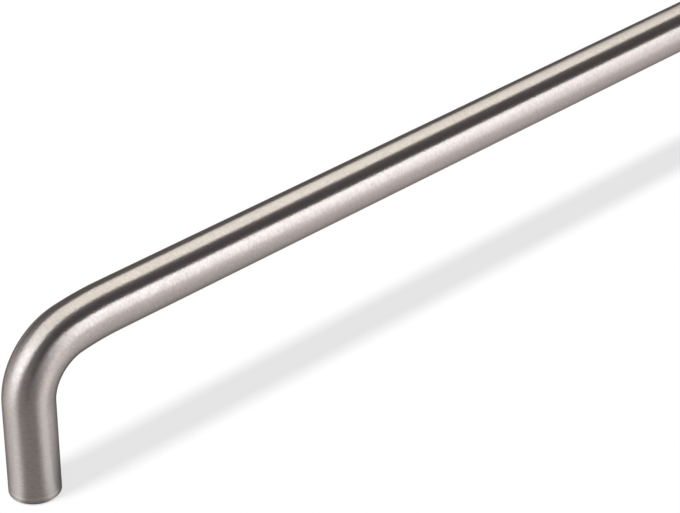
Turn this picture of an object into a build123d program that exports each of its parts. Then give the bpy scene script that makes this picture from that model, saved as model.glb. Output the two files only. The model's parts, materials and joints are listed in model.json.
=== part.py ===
from build123d import *

import os
from math import radians, sin, tan

# Bent bar cabinet handle: one round steel bar, bent square at both ends and screwed on from behind.
# The origin is midway between the two feet, on the cabinet front that they stand on. +X runs along the bar
# and +Z points away from the cabinet front.

# Driving dimensions, in millimetres and degrees
bar_diameter = 10.0
hole_spacing = 256.0  # from one screw hole to the other, which is also from leg to leg
projection = 37.0  # from the cabinet front to the outermost line of the bar
bend_radius = 11.7  # of both bends, to the middle of the bar
bend_angle = 81.0  # turned at that radius, from the leg on
easing_radius = 60.0  # over the rest of the square turn, where the bend opens out into the bar
foot_edge_break = 0.4  # small chamfer round each foot

thread_diameter = 4.0  # metric coarse thread in each foot
thread_pitch = 0.7
hole_depth = 15.0  # to the end of the full diameter
mouth_margin = 0.2  # the countersink opens this far outside the thread, all round
mouth_angle = 90.0
drill_point_angle = 118.0

# Sizes that follow from them
bar_radius = bar_diameter / 2
bar_height = projection - bar_radius  # of the bar's axis above the cabinet front
leg_offset = hole_spacing / 2  # of each leg from the middle
bend_rise = bend_radius * sin(radians(bend_angle)) + easing_radius * (1 - sin(radians(bend_angle)))
drill_radius = (thread_diameter - thread_pitch) / 2  # tapping drill, the thread is cut out of its wall
mouth_radius = thread_diameter / 2 + mouth_margin


def cone_height(wide_radius, narrow_radius, included_angle):
    """Height over which a cone of that included angle goes from one radius to the other."""
    return (wide_radius - narrow_radius) / tan(radians(included_angle / 2))


def axis_of_bar():
    """The line that the bar's middle follows: up a leg, round its bend, along, and down again."""
    leg = Line((-leg_offset, 0), (-leg_offset, bar_height - bend_rise))
    bend = JernArc(leg @ 1, leg % 1, bend_radius, -bend_angle)
    easing = JernArc(bend @ 1, bend % 1, easing_radius, bend_angle - 90)
    left = [leg, bend, easing]
    right = [mirror(line, Plane.YZ).edge() for line in left]
    bar = Line(easing @ 1, (-(easing @ 1).X, bar_height))
    return Plane.XZ * Wire([*left, bar, *right])


def bent_bar():
    """The bar: one round section swept along its axis, with a small chamfer round each foot."""
    centreline = axis_of_bar()
    section = Plane(origin=centreline @ 0, z_dir=centreline % 0) * Circle(bar_radius)
    bar = sweep(section, path=centreline)
    foot_edges = bar.edges().filter_by(GeomType.CIRCLE).group_by(Axis.Z)[0]
    return chamfer(foot_edges, foot_edge_break)


def screw_hole():
    """What is drilled out of a foot: countersink, tapping hole and the cone that the drill's point leaves."""
    mouth_depth = cone_height(mouth_radius, drill_radius, mouth_angle)
    point_length = cone_height(drill_radius, 0, drill_point_angle)
    half_section = Polyline(
        (0, 0, 0),
        (mouth_radius, 0, 0),
        (drill_radius, 0, mouth_depth),
        (drill_radius, 0, hole_depth),
        (0, 0, hole_depth + point_length),
        close=True,
    )
    return revolve(make_face(half_section), axis=Axis.Z)


handle = bent_bar()
for side in (-1, 1):
    handle -= Pos(X=side * leg_offset) * screw_hole()

os.makedirs("parts", exist_ok=True)
export_step(handle, "parts/handle.step")
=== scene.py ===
import json
import math
from collections import namedtuple

import bpy
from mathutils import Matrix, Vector


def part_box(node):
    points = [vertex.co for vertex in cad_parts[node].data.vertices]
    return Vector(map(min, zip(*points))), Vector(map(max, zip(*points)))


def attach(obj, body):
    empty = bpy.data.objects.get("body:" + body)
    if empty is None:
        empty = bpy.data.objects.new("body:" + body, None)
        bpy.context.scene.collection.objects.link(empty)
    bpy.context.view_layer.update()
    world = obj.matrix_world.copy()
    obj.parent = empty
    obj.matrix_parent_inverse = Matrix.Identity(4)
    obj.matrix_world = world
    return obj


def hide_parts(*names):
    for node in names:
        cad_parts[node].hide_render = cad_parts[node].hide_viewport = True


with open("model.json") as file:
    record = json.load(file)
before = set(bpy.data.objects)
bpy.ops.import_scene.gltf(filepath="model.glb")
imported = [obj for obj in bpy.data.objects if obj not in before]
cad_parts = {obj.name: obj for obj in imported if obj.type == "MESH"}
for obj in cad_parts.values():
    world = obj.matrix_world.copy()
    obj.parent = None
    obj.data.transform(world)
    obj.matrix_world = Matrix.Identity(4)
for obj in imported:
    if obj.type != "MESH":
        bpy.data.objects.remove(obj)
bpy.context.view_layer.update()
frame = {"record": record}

# Sizes of the handle, in metres. The frame gives the outer sizes, and the screw holes' mounts give theirs
MM = 0.001
BEND_RADIUS = 11.7 * MM
BEND_ANGLE = math.radians(81)  # turned at that radius, from the leg on
EASING_RADIUS = 60.0 * MM  # over the rest of the square turn, where the bend opens out into the bar
EASING_ANGLE = math.pi / 2 - BEND_ANGLE
FOOT_EDGE_BREAK = 0.4 * MM
EDGE_ROUNDING = 0.12 * MM
THREAD_DIAMETER = 4.0 * MM
THREAD_PITCH = 0.7 * MM
THREAD_FLANK_ANGLE = math.radians(30)
MOUTH_MARGIN = 0.2 * MM
DRILL_POINT_ANGLE = math.radians(118)

low, high = (Vector(corner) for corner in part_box("handle"))
mounts = {mount["name"]: mount for mount in frame["record"]["mounts"]}
BAR_RADIUS = (high.y - low.y) / 2
BAR_HEIGHT = high.z - BAR_RADIUS
LEG_OFFSET = mounts["screw_holes"]["dims"]["spacing_x_mm"] * MM / 2
DRILL_RADIUS = mounts["left_screw_hole"]["dims"]["r_mm"] * MM
MOUTH_RADIUS = THREAD_DIAMETER / 2 + MOUTH_MARGIN
MOUTH_DEPTH = MOUTH_RADIUS - DRILL_RADIUS
HOLE_DEPTH = MOUTH_DEPTH + mounts["left_screw_hole"]["dims"]["length_mm"] * MM

# Where the straight leg and the straight bar end, and the bar's length from foot to foot
LEG_TOP = BAR_HEIGHT - BEND_RADIUS * math.sin(BEND_ANGLE) - EASING_RADIUS * (1 - math.sin(BEND_ANGLE))
BAR_HALF = LEG_OFFSET - BEND_RADIUS * (1 - math.cos(BEND_ANGLE)) - EASING_RADIUS * math.cos(BEND_ANGLE)
BEND_LENGTH = BEND_RADIUS * BEND_ANGLE + EASING_RADIUS * EASING_ANGLE
LENGTH_IN_SIGHT = 2 * (LEG_TOP - FOOT_EDGE_BREAK + BEND_LENGTH + BAR_HALF)

# How finely the bar is meshed
AROUND = 112
BEND_STEPS = 54
EASING_STEPS = 12
BAR_STEP = 4 * MM
LEG_STEP = 2 * MM
THREAD_STEPS = 10  # rings in one turn of the thread
SHARP_ANGLE = math.radians(30)  # edges sharper than that are shaded as edges

# The camera, fitted to the outline of the bar in the photo
CAMERA_PLACE = Vector((-366.67, -326.98, 296.20)) * MM
CAMERA_AZIMUTH = math.radians(-44.181)
CAMERA_ELEVATION = math.radians(31.467)
CAMERA_LENS = 141.17
CAMERA_CLIP = 0.01
SENSOR_WIDTH = 36.0


# The bar

def rounded(points, radius, steps=5):
    """The points of a broken line, with each inner corner replaced by an arc of that radius."""
    line = [Vector(points[0])]
    for before, corner, after in zip(points, points[1:], points[2:]):
        corner = Vector(corner)
        back = (Vector(before) - corner).normalized()
        on = (Vector(after) - corner).normalized()
        half_opening = back.angle(on) / 2
        centre = corner + (back + on).normalized() * radius / math.sin(half_opening)
        start = corner + back * radius / math.tan(half_opening) - centre
        end = corner + on * radius / math.tan(half_opening) - centre
        arc = [start.lerp(end, step / steps).normalized() for step in range(steps + 1)]
        line += [centre + direction * radius for direction in arc]
    line.append(Vector(points[-1]))
    return line


def thread_radius(depth, turn):
    """Radius of the tapped wall at a depth from the foot, where turn is the angle round +Z in whole turns."""
    thread_end = HOLE_DEPTH - 2 * THREAD_PITCH
    height = THREAD_DIAMETER / 2 - DRILL_RADIUS
    root_half = THREAD_PITCH / 16
    flank = height * math.tan(THREAD_FLANK_ANGLE)
    from_root = abs((depth / THREAD_PITCH - turn + 0.5) % 1 - 0.5) * THREAD_PITCH
    cut = 1 - min(max((from_root - root_half) / flank, 0), 1)
    run_out = min(max((thread_end - depth) / THREAD_PITCH, 0), 1)
    countersink = MOUTH_RADIUS - depth
    return max(DRILL_RADIUS + height * cut * run_out, countersink)


def leg_rings(side):
    """Rings of one end, from the bottom of its screw hole to the top of its straight leg.

    A ring is its middle, the direction of the bar there, and its radius at each point round it.
    """
    axis = Vector((side * LEG_OFFSET, 0, 0))
    up = Vector((0, 0, -side))
    rings = []

    def add(height, radii):
        rings.append((axis + Vector((0, 0, height)), up, radii))

    point_length = DRILL_RADIUS / math.tan(DRILL_POINT_ANGLE / 2)
    add(HOLE_DEPTH + point_length, [0.0])
    count = round(HOLE_DEPTH / THREAD_PITCH * THREAD_STEPS)
    turns = [0.25 - side * spot / AROUND for spot in range(AROUND)]
    for index in range(count, 0, -1):
        depth = HOLE_DEPTH * index / count
        add(depth, [thread_radius(depth, turn) for turn in turns])
    foot = [
        (MOUTH_RADIUS - EDGE_ROUNDING, EDGE_ROUNDING, 0),
        (MOUTH_RADIUS, 0, 0),
        (BAR_RADIUS - FOOT_EDGE_BREAK, 0, 0),
        (BAR_RADIUS, FOOT_EDGE_BREAK, 0),
        (BAR_RADIUS, LEG_STEP, 0),
    ]
    for spot in rounded(foot, EDGE_ROUNDING)[1:]:
        add(spot.y, [spot.x] * AROUND)
    steps = round((LEG_TOP - LEG_STEP) / LEG_STEP)
    for step in range(1, steps + 1):
        add(LEG_STEP + (LEG_TOP - LEG_STEP) * step / steps, [BAR_RADIUS] * AROUND)
    return rings


def bend_rings(side):
    """Rings of one bend, from the top of its leg to the start of the straight bar."""
    bend = Vector((side * (LEG_OFFSET - BEND_RADIUS), 0, LEG_TOP)), BEND_RADIUS
    easing = Vector((side * BAR_HALF, 0, BAR_HEIGHT - EASING_RADIUS)), EASING_RADIUS
    bend_angles = [BEND_ANGLE * step / BEND_STEPS for step in range(1, BEND_STEPS + 1)]
    easing_angles = [BEND_ANGLE + EASING_ANGLE * step / EASING_STEPS for step in range(1, EASING_STEPS + 1)]
    turns = [(bend, angle) for angle in bend_angles] + [(easing, angle) for angle in easing_angles]
    rings = []
    for (centre, radius), angle in turns:
        outward = Vector((side * math.cos(angle), 0, math.sin(angle)))
        along = Vector((math.sin(angle), 0, -side * math.cos(angle)))
        rings.append((centre + outward * radius, along, [BAR_RADIUS] * AROUND))
    return rings


def bar_rings():
    """Rings of the straight bar between the bends."""
    steps = round(2 * BAR_HALF / BAR_STEP)
    places = [-BAR_HALF + 2 * BAR_HALF * step / steps for step in range(1, steps)]
    return [(Vector((x, 0, BAR_HEIGHT)), Vector((1, 0, 0)), [BAR_RADIUS] * AROUND) for x in places]


def skin(name, rings):
    """A closed mesh over the rings, with a map of it in which U runs along the skin and V once round it.

    U is in metres, from 0 at the edge of the left foot to LENGTH_IN_SIGHT at the edge of the right one.
    """
    vertices, first, lengths = [], [], []
    across = Vector((0, 1, 0))
    for middle, along, radii in rings:
        first.append(len(vertices))
        other = along.cross(across)
        for spot, radius in enumerate(radii):
            angle = math.tau * spot / AROUND
            vertices.append(middle + radius * (math.cos(angle) * across + math.sin(angle) * other))
        here = middle + across * sum(radii) / len(radii)
        lengths.append(lengths[-1] + (here - before).length if lengths else 0.0)
        before = here
    hidden = (lengths[-1] - LENGTH_IN_SIGHT) / 2
    lengths = [length - hidden for length in lengths]
    faces, places = [], []
    for ring in range(len(rings) - 1):
        sizes = len(rings[ring][2]), len(rings[ring + 1][2])
        for spot in range(AROUND):
            corners = []
            for end, turn in ((0, spot), (0, spot + 1), (1, spot + 1), (1, spot)):
                index = first[ring + end] + turn % AROUND % sizes[end]
                if not corners or all(index != seen[0] for seen in corners):
                    corners.append((index, (lengths[ring + end], turn / AROUND)))
            faces.append([index for index, _ in corners])
            places += [place for _, place in corners]
    mesh = bpy.data.meshes.new(name)
    mesh.from_pydata(vertices, [], faces)
    layer = mesh.uv_layers.new(name=BAR_MAP)
    layer.uv.foreach_set("vector", [value for place in places for value in place])
    mesh.shade_smooth()
    mesh.set_sharp_from_angle(angle=SHARP_ANGLE)
    piece = bpy.data.objects.new(name, mesh)
    bpy.context.scene.collection.objects.link(piece)
    return piece


# Materials

BAR_MAP = "along_and_round"
BRUSH_WIDTH = 0.14 * MM
BRUSH_DEPTH = 0.02 * MM
BRUSH_STRENGTH = 0.8
CLOUD_SIZE = 3 * MM
CUT_AND_SHADE_SHARE = 0.9
CUT_AND_SHADE_BLEND = 0.05 * MM  # over which the brushed side goes over into the cut foot, which is dark partly as painted shade
FOOT_HIGHLIGHT_HEIGHT = 0.9 * MM  # of a painted highlight, a paler line round each foot, from the foot's edge
FOOT_HIGHLIGHT_HALF = 0.35 * MM
FOOT_HIGHLIGHT_CORE = 0.1 * MM
ROUGHNESS_DEEP = 0.37
ROUGHNESS_PALE = 0.29
STEEL_PALE = (0.74, 0.655, 0.62, 1)
STEEL_DEEP = (0.575, 0.509, 0.482, 1)
# The colour of the painted highlight round each foot
STEEL_PAINTED_HIGHLIGHT = (0.80, 0.73, 0.70, 1)
# The cut feet and holes, painted dark partly as shade along the foot's bottom edge
STEEL_CUT_AND_SHADE = (0.30, 0.275, 0.265, 1)
STEEL_EDGE = (0.17, 0.165, 0.16, 1)  # at a grazing angle
FLOOR_WHITE = (0.92, 0.92, 0.92, 1)
SHADOW_NEAR = 0.3  # from the handle's middle to where the floor starts to lose its shadow
SHADOW_FAR = 0.6
SHADOW_DEPTH = 0.3


class Nodes:
    """Short ways to add and join the nodes of one material."""

    def __init__(self, material):
        material.use_nodes = True
        self.tree = material.node_tree
        self.tree.nodes.clear()

    def add(self, kind, inputs=None, **settings):
        """A new node with these inputs, each a plain value or another node's socket."""
        node = self.tree.nodes.new(kind)
        for key, value in settings.items():
            setattr(node, key, value)
        for key, value in (inputs or {}).items():
            self.put(node.inputs[key], value)
        return node

    def put(self, socket, value):
        """Join a socket to an input, or write a plain value there."""
        if isinstance(value, bpy.types.NodeSocket):
            self.tree.links.new(value, socket)
        else:
            socket.default_value = value

    def maths(self, operation, *values):
        """The result of one operation on values or sockets."""
        node = self.add("ShaderNodeMath", operation=operation)
        for socket, value in zip(node.inputs, values):
            self.put(socket, value)
        return node.outputs[0]

    def ramp(self, value, start, end, lowest=0.0, highest=1.0, smooth=False):
        """A value that goes from lowest to highest while another goes from start to end."""
        inputs = {"Value": value, "From Min": start, "From Max": end, "To Min": lowest, "To Max": highest}
        kind = "SMOOTHSTEP" if smooth else "LINEAR"
        return self.add("ShaderNodeMapRange", inputs, interpolation_type=kind).outputs["Result"]

    def mix(self, share, first, second):
        """A value between two, with that share of the second."""
        node = self.add("ShaderNodeMix", {0: share})
        self.put(node.inputs[2], first)
        self.put(node.inputs[3], second)
        return node.outputs[0]

    def blend(self, share, first, second):
        """A colour between two, with that share of the second."""
        node = self.add("ShaderNodeMix", data_type="RGBA")
        sockets = [socket for socket in node.inputs if socket.enabled]
        for socket, value in zip(sockets, (share, first, second)):
            self.put(socket, value)
        return next(socket for socket in node.outputs if socket.enabled)


def round_the_bar(nodes):
    """Where a point is on the bar: along it, and on a circle round it, in metres and with no seam."""
    place = nodes.add("ShaderNodeUVMap", uv_map=BAR_MAP).outputs["UV"]
    parts = nodes.add("ShaderNodeSeparateXYZ", {"Vector": place}).outputs
    angle = nodes.maths("MULTIPLY", parts["Y"], math.tau)
    circle = [nodes.maths("MULTIPLY", nodes.maths(turn, angle), BAR_RADIUS) for turn in ("COSINE", "SINE")]
    return nodes.add("ShaderNodeCombineXYZ", {"X": parts["X"], "Y": circle[0], "Z": circle[1]}).outputs[0]


def lines(nodes, place, width, length, detail=1.0):
    """Noise drawn out into lines that run round the bar, of about that width and length, from 0 to 1."""
    stretched = nodes.add(
        "ShaderNodeVectorMath",
        {0: place, 1: (0.5 / width, 0.5 / length, 0.5 / length)},
        operation="MULTIPLY",
    ).outputs[0]
    noise = nodes.add("ShaderNodeTexNoise", {"Vector": stretched, "Scale": 1.0, "Detail": detail})
    return nodes.ramp(noise.outputs["Fac"], 0.25, 0.75)


def brushed_steel():
    """Steel brushed round the bar and cut in its feet and holes: paler and deeper lines, and faint clouds. The
    cut is painted dark, partly as shade along the foot's edge, and a paler line round each foot is a painted
    highlight.
    """
    material = bpy.data.materials.new("brushed_steel")
    nodes = Nodes(material)
    place = round_the_bar(nodes)
    fine = lines(nodes, place, BRUSH_WIDTH, 3 * BRUSH_WIDTH)
    coarse = lines(nodes, place, 3 * BRUSH_WIDTH, 30 * BRUSH_WIDTH)
    clouds = lines(nodes, place, CLOUD_SIZE, CLOUD_SIZE)
    shares = (fine, 0.74), (coarse, 0.12), (clouds, 0.14)
    parts = [nodes.maths("MULTIPLY", part, share) for part, share in shares]
    grain = nodes.maths("ADD", nodes.maths("ADD", parts[0], parts[1]), parts[2])
    along = nodes.add("ShaderNodeSeparateXYZ", {"Vector": place}).outputs["X"]
    from_foot = nodes.maths("MINIMUM", along, nodes.maths("SUBTRACT", LENGTH_IN_SIGHT, along))
    # The cut feet and holes, darker partly as painted shade along the foot's edge
    cut = nodes.ramp(from_foot, CUT_AND_SHADE_BLEND, -CUT_AND_SHADE_BLEND)
    # A painted highlight: a paler line round each foot, just above its edge
    from_highlight = nodes.maths("ABSOLUTE", nodes.maths("SUBTRACT", from_foot, FOOT_HIGHLIGHT_HEIGHT))
    line = nodes.ramp(from_highlight, FOOT_HIGHLIGHT_HALF, FOOT_HIGHLIGHT_CORE)
    brushed = nodes.blend(grain, STEEL_DEEP, STEEL_PALE)
    brushed = nodes.blend(line, brushed, STEEL_PAINTED_HIGHLIGHT)
    bump = nodes.add("ShaderNodeBump", {"Strength": BRUSH_STRENGTH, "Distance": BRUSH_DEPTH, "Height": grain})
    tangent = nodes.add("ShaderNodeTangent", direction_type="UV_MAP", uv_map=BAR_MAP)
    shader = nodes.add(
        "ShaderNodeBsdfPrincipled",
        {
            "Base Color": nodes.blend(nodes.maths("MULTIPLY", cut, CUT_AND_SHADE_SHARE), brushed, STEEL_CUT_AND_SHADE),
            "Metallic": 1.0,
            "Roughness": nodes.ramp(grain, 0.0, 1.0, ROUGHNESS_DEEP, ROUGHNESS_PALE),
            "Specular Tint": STEEL_EDGE,
            "Anisotropic": 0.9,
            "Tangent": tangent.outputs[0],
            "Normal": bump.outputs[0],
        },
    )
    nodes.add("ShaderNodeOutputMaterial", {"Surface": shader.outputs[0]})
    return material


# A direction along which a card grows from a lowest share at its start to its whole brightness at its end
Fade = namedtuple("Fade", "direction start end lowest")


def glow(name, colour, brightness, fades=()):
    """A face that shines as brightly as that, where 1 is white, and less so before the end of each fade."""
    material = bpy.data.materials.new(name)
    nodes = Nodes(material)
    place = nodes.add("ShaderNodeTexCoord").outputs["Object"]
    strength = brightness
    for fade in fades:
        along = nodes.add("ShaderNodeVectorMath", {0: place, 1: fade.direction}, operation="DOT_PRODUCT")
        share = nodes.ramp(along.outputs["Value"], fade.start, fade.end, fade.lowest, 1.0, smooth=True)
        strength = nodes.maths("MULTIPLY", strength, share)
    shader = nodes.add("ShaderNodeEmission", {"Color": (*colour, 1), "Strength": strength})
    nodes.add("ShaderNodeOutputMaterial", {"Surface": shader.outputs[0]})
    return material


def looked_at(nodes):
    """1 for what the camera sees, straight, in metal or through glass, and 0 for light that goes elsewhere."""
    path = nodes.add("ShaderNodeLightPath").outputs
    straight_or_mirrored = nodes.maths("MAXIMUM", path["Is Camera Ray"], path["Is Glossy Ray"])
    return nodes.maths("MAXIMUM", straight_or_mirrored, path["Is Transmission Ray"])


def floor_material():
    """White, with a pale shadow near the handle, and fading into the white background far from it."""
    material = bpy.data.materials.new("white_floor")
    nodes = Nodes(material)
    place = nodes.add("ShaderNodeTexCoord").outputs["Object"]
    distance = nodes.add("ShaderNodeVectorMath", {0: place}, operation="LENGTH").outputs["Value"]
    white = nodes.ramp(distance, SHADOW_NEAR, SHADOW_FAR, 1 - SHADOW_DEPTH, 1.0, smooth=True)
    lit = nodes.add("ShaderNodeBsdfDiffuse", {"Color": FLOOR_WHITE})
    background = nodes.add("ShaderNodeEmission")
    floor = nodes.add(
        "ShaderNodeMixShader",
        {0: nodes.maths("MULTIPLY", white, looked_at(nodes)), 1: lit.outputs[0], 2: background.outputs[0]},
    )
    nodes.add("ShaderNodeOutputMaterial", {"Surface": floor.outputs[0]})
    return material


def mirrored_floor_material():
    """The floor as the photo's metal mirrors it, on a glowing card with painted light and shade: pale, with
    painted shade under the bar and round the near foot, and painted dark on the camera's side of that foot."""
    material = bpy.data.materials.new("mirrored_floor")
    nodes = Nodes(material)
    object_place = nodes.add("ShaderNodeTexCoord").outputs["Object"]
    place = nodes.add("ShaderNodeSeparateXYZ", {"Vector": object_place}).outputs

    # A point's place from the near foot: outward beyond the bar's end, and forward to the camera's side
    outward = nodes.maths("SUBTRACT", -LEG_OFFSET, place["X"])
    forward = nodes.maths("MULTIPLY", place["Y"], -1.0)
    offset = nodes.add("ShaderNodeCombineXYZ", {"X": outward, "Y": forward}).outputs[0]
    from_foot = nodes.add("ShaderNodeVectorMath", {0: offset}, operation="LENGTH").outputs["Value"]
    to_camera = nodes.maths("DIVIDE", nodes.maths("ADD", outward, forward), from_foot)
    to_left = nodes.maths("DIVIDE", nodes.maths("SUBTRACT", outward, forward), from_foot)

    # The open floor, with painted light that grows towards the front and most of all at the near end
    brightest = nodes.ramp(place["X"], 0.0, 250 * MM, 1.5, 1.15)
    floor = nodes.ramp(forward, 50 * MM, 200 * MM, 0.8, brightest)

    # The shade under the bar on one side of the foot, and by the leg alone on the other
    under_bar = nodes.ramp(nodes.maths("ABSOLUTE", forward), 0.0, 110 * MM, 0.8, 1.0)
    by_foot = nodes.ramp(from_foot, BAR_RADIUS, 130 * MM, 0.79, 1.0)
    behind = nodes.ramp(forward, -10 * MM, 1 * MM, 0.95, 1.29)
    close_by = nodes.ramp(from_foot, BAR_RADIUS, 30 * MM, 0.8, 1.0)
    bar_shade = nodes.maths("MULTIPLY", under_bar, by_foot)
    leg_shade = nodes.maths("MULTIPLY", behind, close_by)
    bar_side = nodes.ramp(outward, 4 * MM, -4 * MM)
    floor = nodes.maths("MULTIPLY", floor, nodes.mix(bar_side, leg_shade, bar_shade))

    # An even patch of painted light on the bar's side that faces the camera, and a painted shadow, a darker
    # spot beside the foot
    lit_side = nodes.maths("MULTIPLY", bar_side, nodes.ramp(to_camera, 0.2, 0.3))
    floor = nodes.mix(lit_side, floor, 0.81)
    spot = nodes.add("ShaderNodeVectorMath", {0: offset, 1: (-10 * MM, 3 * MM, 0)}, operation="DISTANCE")
    floor = nodes.maths("MULTIPLY", floor, nodes.ramp(spot.outputs["Value"], 3 * MM, 13 * MM, 0.5, 1.0))

    # The painted shade in front of the foot, which leans to the left close by
    lean = nodes.ramp(from_foot, BAR_RADIUS, 5 * BAR_RADIUS, 0.42, 0.0)
    lean = nodes.maths("MULTIPLY", lean, nodes.maths("MAXIMUM", to_left, 0.0))
    in_front = nodes.ramp(nodes.maths("SUBTRACT", to_camera, lean), 0.73, 1.26, smooth=True)
    floor = nodes.mix(in_front, floor, nodes.ramp(from_foot, 50 * MM, 120 * MM, 0.287, 0.224))

    # A painted contact shadow, a dark ring where each foot stands
    along = nodes.maths("SUBTRACT", nodes.maths("ABSOLUTE", place["X"]), LEG_OFFSET)
    offset = nodes.add("ShaderNodeCombineXYZ", {"X": along, "Y": forward}).outputs[0]
    from_feet = nodes.add("ShaderNodeVectorMath", {0: offset}, operation="LENGTH").outputs["Value"]
    contact_shadow = nodes.ramp(from_feet, BAR_RADIUS, BAR_RADIUS + 1.1 * MM, 0.2, 1.0)
    floor = nodes.maths("MULTIPLY", floor, contact_shadow)

    # Cool near the foot, and warm in front of it and far away
    colour = nodes.blend(nodes.ramp(from_foot, 20 * MM, 90 * MM), (0.96, 0.995, 1, 1), (1, 0.99, 0.99, 1))
    colour = nodes.blend(in_front, colour, (1, 0.975, 0.965, 1))
    shader = nodes.add("ShaderNodeEmission", {"Color": colour, "Strength": floor})
    nodes.add("ShaderNodeOutputMaterial", {"Surface": shader.outputs[0]})
    return material


# The studio: a white floor and background, one lamp overhead, and what the photo's metal mirrors

FLOOR_EDGE = 8.0
KEY_FROM = Vector((-0.23, 0.047, 1))
KEY_ANGLE = math.radians(9)
KEY_STRENGTH = 2.6
AMBIENT = 0.3
CARD_LEFT = -0.73
CARD_FRONT = -0.36
CARD_BACK = 1.09
CARD_TOP = 0.75
FLOOR_CARD_HEIGHT = 0.04 * MM
ROOM_X = (-0.85, 1.7)
ROOM_Y = (-0.95, 1.1)
ROOM_Z = (-0.01, 0.85)


def stand(name, corners, faces, material, mirrored_only=True):
    """A thing of the studio, and not of the handle. Most of them are seen only mirrored in the metal."""
    mesh = bpy.data.meshes.new(name)
    mesh.from_pydata(corners, [], faces)
    mesh.materials.append(material)
    item = bpy.data.objects.new(name, mesh)
    bpy.context.scene.collection.objects.link(item)
    if mirrored_only:
        item.visible_camera = False
        item.visible_diffuse = False
        item.visible_shadow = False


def rectangle(x, y, z):
    """The corners of a rectangle that is flat along the axis for which one value is given, and not two."""
    if isinstance(x, float):
        return [(x, y[0], z[0]), (x, y[1], z[0]), (x, y[1], z[1]), (x, y[0], z[1])]
    if isinstance(y, float):
        return [(x[0], y, z[0]), (x[1], y, z[0]), (x[1], y, z[1]), (x[0], y, z[1])]
    return [(x[0], y[0], z), (x[1], y[0], z), (x[1], y[1], z), (x[0], y[1], z)]


def softbox(name, corners, colour, brightness, fades):
    """A bright card, mirrored in the metal alone."""
    stand(name, corners, [range(len(corners))], glow(name, colour, brightness, fades))


def dark_room():
    """Dark walls and ceiling round it all, for what the metal mirrors between the cards."""
    corners = [(x, y, z) for z in ROOM_Z for y in ROOM_Y for x in ROOM_X]
    walls = [(0, 1, 5, 4), (1, 3, 7, 5), (3, 2, 6, 7), (2, 0, 4, 6), (4, 5, 7, 6)]
    stand("dark_room", corners, walls, glow("dark_wall", colour=(1, 0.925, 1), brightness=0.068))


def key_lamp():
    """The lamp overhead, which throws the shadow on the floor."""
    lamp = bpy.data.lights.new("key", "SUN")
    lamp.angle = KEY_ANGLE
    lamp.energy = KEY_STRENGTH
    key = bpy.data.objects.new("key", lamp)
    key.rotation_euler = KEY_FROM.to_track_quat("Z", "Y").to_euler()
    key.visible_camera = False
    key.visible_glossy = False
    bpy.context.scene.collection.objects.link(key)


def white_world():
    """A background that is white to look at, and lights the scene softly."""
    world = bpy.data.worlds.new("studio")
    bpy.context.scene.world = world
    nodes = Nodes(world)
    strength = nodes.ramp(looked_at(nodes), 0.0, 1.0, AMBIENT, 1.0)
    background = nodes.add("ShaderNodeBackground", {"Color": (1, 1, 1, 1), "Strength": strength})
    nodes.add("ShaderNodeOutputWorld", {"Surface": background.outputs[0]})


def mirrored_floor():
    """A card just over the floor, with the floor's shades as the metal mirrors them."""
    corners = rectangle((CARD_LEFT, -CARD_LEFT), (CARD_FRONT, ROOM_Y[1]), FLOOR_CARD_HEIGHT)
    stand("mirrored_floor", corners, [range(4)], mirrored_floor_material())


def top_softbox():
    """The card overhead that makes the cream band along the bar and over the bend."""
    front = (CARD_LEFT, -0.2), (1.0, 0.06)
    back = (1.0, 1.1), (0.8, 1.1), (0.25, 0.76), (0.0, 0.76), (-0.3, 0.8), (-0.5, 0.86), (CARD_LEFT, 0.86)
    corners = [(x, y, CARD_TOP) for x, y in front + back]
    front_edge = Fade(direction=(-0.16, 1, 0), start=-0.035, end=-0.007, lowest=0.04)
    to_far_end = Fade(direction=(1, 0, 0), start=0.0, end=1.23, lowest=0.43)
    softbox("top_softbox", corners, colour=(0.98, 1, 0.94), brightness=2.5, fades=[front_edge, to_far_end])


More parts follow.
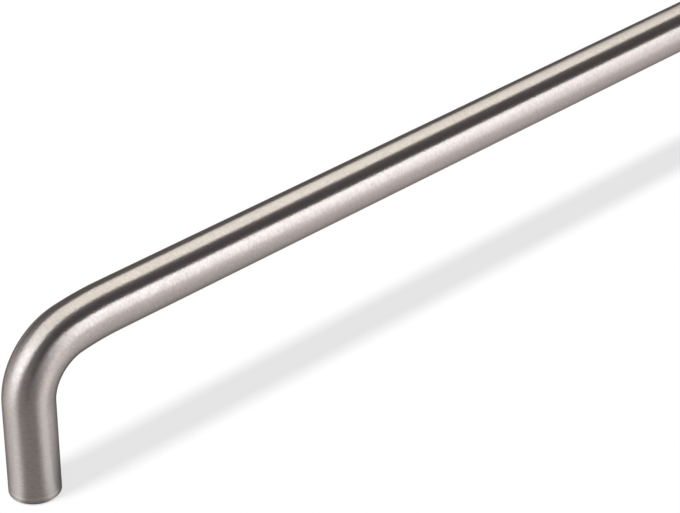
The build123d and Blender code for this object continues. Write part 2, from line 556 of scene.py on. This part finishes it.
def left_softbox():
    """The card that makes the pale band on the left of the leg."""
    corners = rectangle(CARD_LEFT, (-0.5, ROOM_Y[1]), (0.0, CARD_TOP))
    front_edge = Fade(direction=(0, 1, 0.38), start=0.014, end=0.168, lowest=0.106)
    back_edge = Fade(direction=(0, -1, 0), start=-1.02, end=-0.16, lowest=0.3)
    softbox("left_softbox", corners, colour=(0.88, 0.94, 1), brightness=2.06, fades=[front_edge, back_edge])


def right_softbox():
    """The card that makes the pale bands on the right of the leg and on the front of the bar."""
    corners = rectangle((CARD_FRONT, 0.8), CARD_FRONT, (0.0, 0.33))
    near_edge = Fade(direction=(1, 0, 0.5), start=-0.2, end=0.15, lowest=0.07)
    far_edge = Fade(direction=(-1, 0, 1.6), start=-0.33, end=-0.05, lowest=0.29)
    softbox("right_softbox", corners, colour=(0.931, 0.973, 1), brightness=2.18, fades=[near_edge, far_edge])


def back_card():
    """The dim card behind, mirrored along the bar's upper edge."""
    corners = rectangle((CARD_LEFT, 1.6), CARD_BACK, (0.0, CARD_TOP))
    to_near_end = Fade(direction=(-1, 0, 0), start=0.15, end=0.6, lowest=0.33)
    softbox("back_card", corners, colour=(1, 1, 1), brightness=0.4, fades=[to_near_end])


def studio():
    """All that is round the handle."""
    edge = (-FLOOR_EDGE, FLOOR_EDGE)
    stand("floor", rectangle(edge, edge, 0.0), [range(4)], floor_material(), mirrored_only=False)
    white_world()
    key_lamp()
    dark_room()
    mirrored_floor()
    top_softbox()
    left_softbox()
    right_softbox()
    back_card()


def camera():
    """The photo's view of the handle."""
    data = bpy.data.cameras.new("camera")
    data.sensor_width = SENSOR_WIDTH
    data.sensor_fit = "HORIZONTAL"
    data.lens = CAMERA_LENS
    data.clip_start = CAMERA_CLIP
    place = bpy.data.objects.new("camera", data)
    place.location = CAMERA_PLACE
    place.rotation_euler = (math.pi / 2 - CAMERA_ELEVATION, 0, CAMERA_AZIMUTH)
    bpy.context.scene.collection.objects.link(place)
    bpy.context.scene.camera = place


left = leg_rings(-1) + bend_rings(-1)
right = leg_rings(1) + bend_rings(1)
bar = skin("brushed_bar", left + bar_rings() + right[::-1])
bar.data.materials.append(brushed_steel())
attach(bar, "root")
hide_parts("handle")

studio()
camera()
bpy.context.scene.view_settings.view_transform = "Standard"
